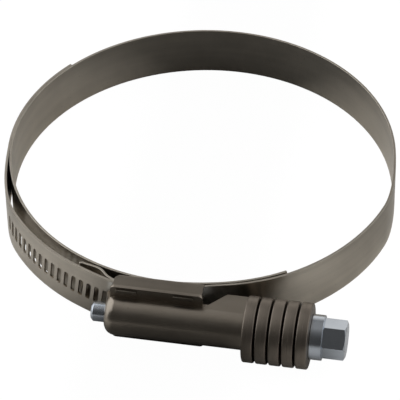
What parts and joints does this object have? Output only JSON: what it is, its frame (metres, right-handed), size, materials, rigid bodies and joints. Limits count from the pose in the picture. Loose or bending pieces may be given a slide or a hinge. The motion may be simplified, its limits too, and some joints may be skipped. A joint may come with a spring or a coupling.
{
  "type": "spring loaded worm drive hose clamp",
  "caption": "Round worm drive hose clamp with an inner liner, a slotted strip, a screw housing and a stack of conical spring washers under the screw head.",
  "frame": {"origin": "centre of the ring at half the band's width", "axes": "+Z along the ring's axis, -Y to the screw housing, +X along the screw towards its head"},
  "size_m": [0.1172, 0.1322, 0.0198],
  "materials": {
    "band_steel": "warm grey rolled stainless steel, satin",
    "housing_steel": "pressed stainless steel, satin",
    "washer_steel": "stainless spring steel, tumbled",
    "zinc_plate": "bright bluish zinc plate"
  },
  "bodies": {
    "clamp_ring": {"main_band": "band_steel", "slotted_strip": "band_steel", "saddle": "housing_steel", "housing_cap": "housing_steel", "spring_washer_01": "washer_steel", "spring_washer_02": "washer_steel", "spring_washer_03": "washer_steel", "spring_washer_04": "washer_steel", "spring_washer_05": "washer_steel", "spring_washer_06": "washer_steel", "spring_washer_07": "washer_steel", "spring_washer_08": "washer_steel", "spring_washer_09": "washer_steel"},
    "thrust_washer": {"spring_washer_10": "washer_steel"},
    "screw": {"screw": "zinc_plate"}
  },
  "joints": [
    {"name": "screw_float", "type": "slide", "parent": "clamp_ring", "child": "thrust_washer", "axis": [1, 0, 0], "range_m": [-0.0026, 0], "stiffness_N_per_m": 20000, "deforming": ["spring_washer_01", "spring_washer_02", "spring_washer_03", "spring_washer_04", "spring_washer_05", "spring_washer_06", "spring_washer_07", "spring_washer_08", "spring_washer_09"]},
    {"name": "screw_turn", "type": "hinge", "parent": "thrust_washer", "child": "screw", "pos_m": [0.02, -0.0648, 0], "axis": [1, 0, 0], "continuous": true}
  ]
}
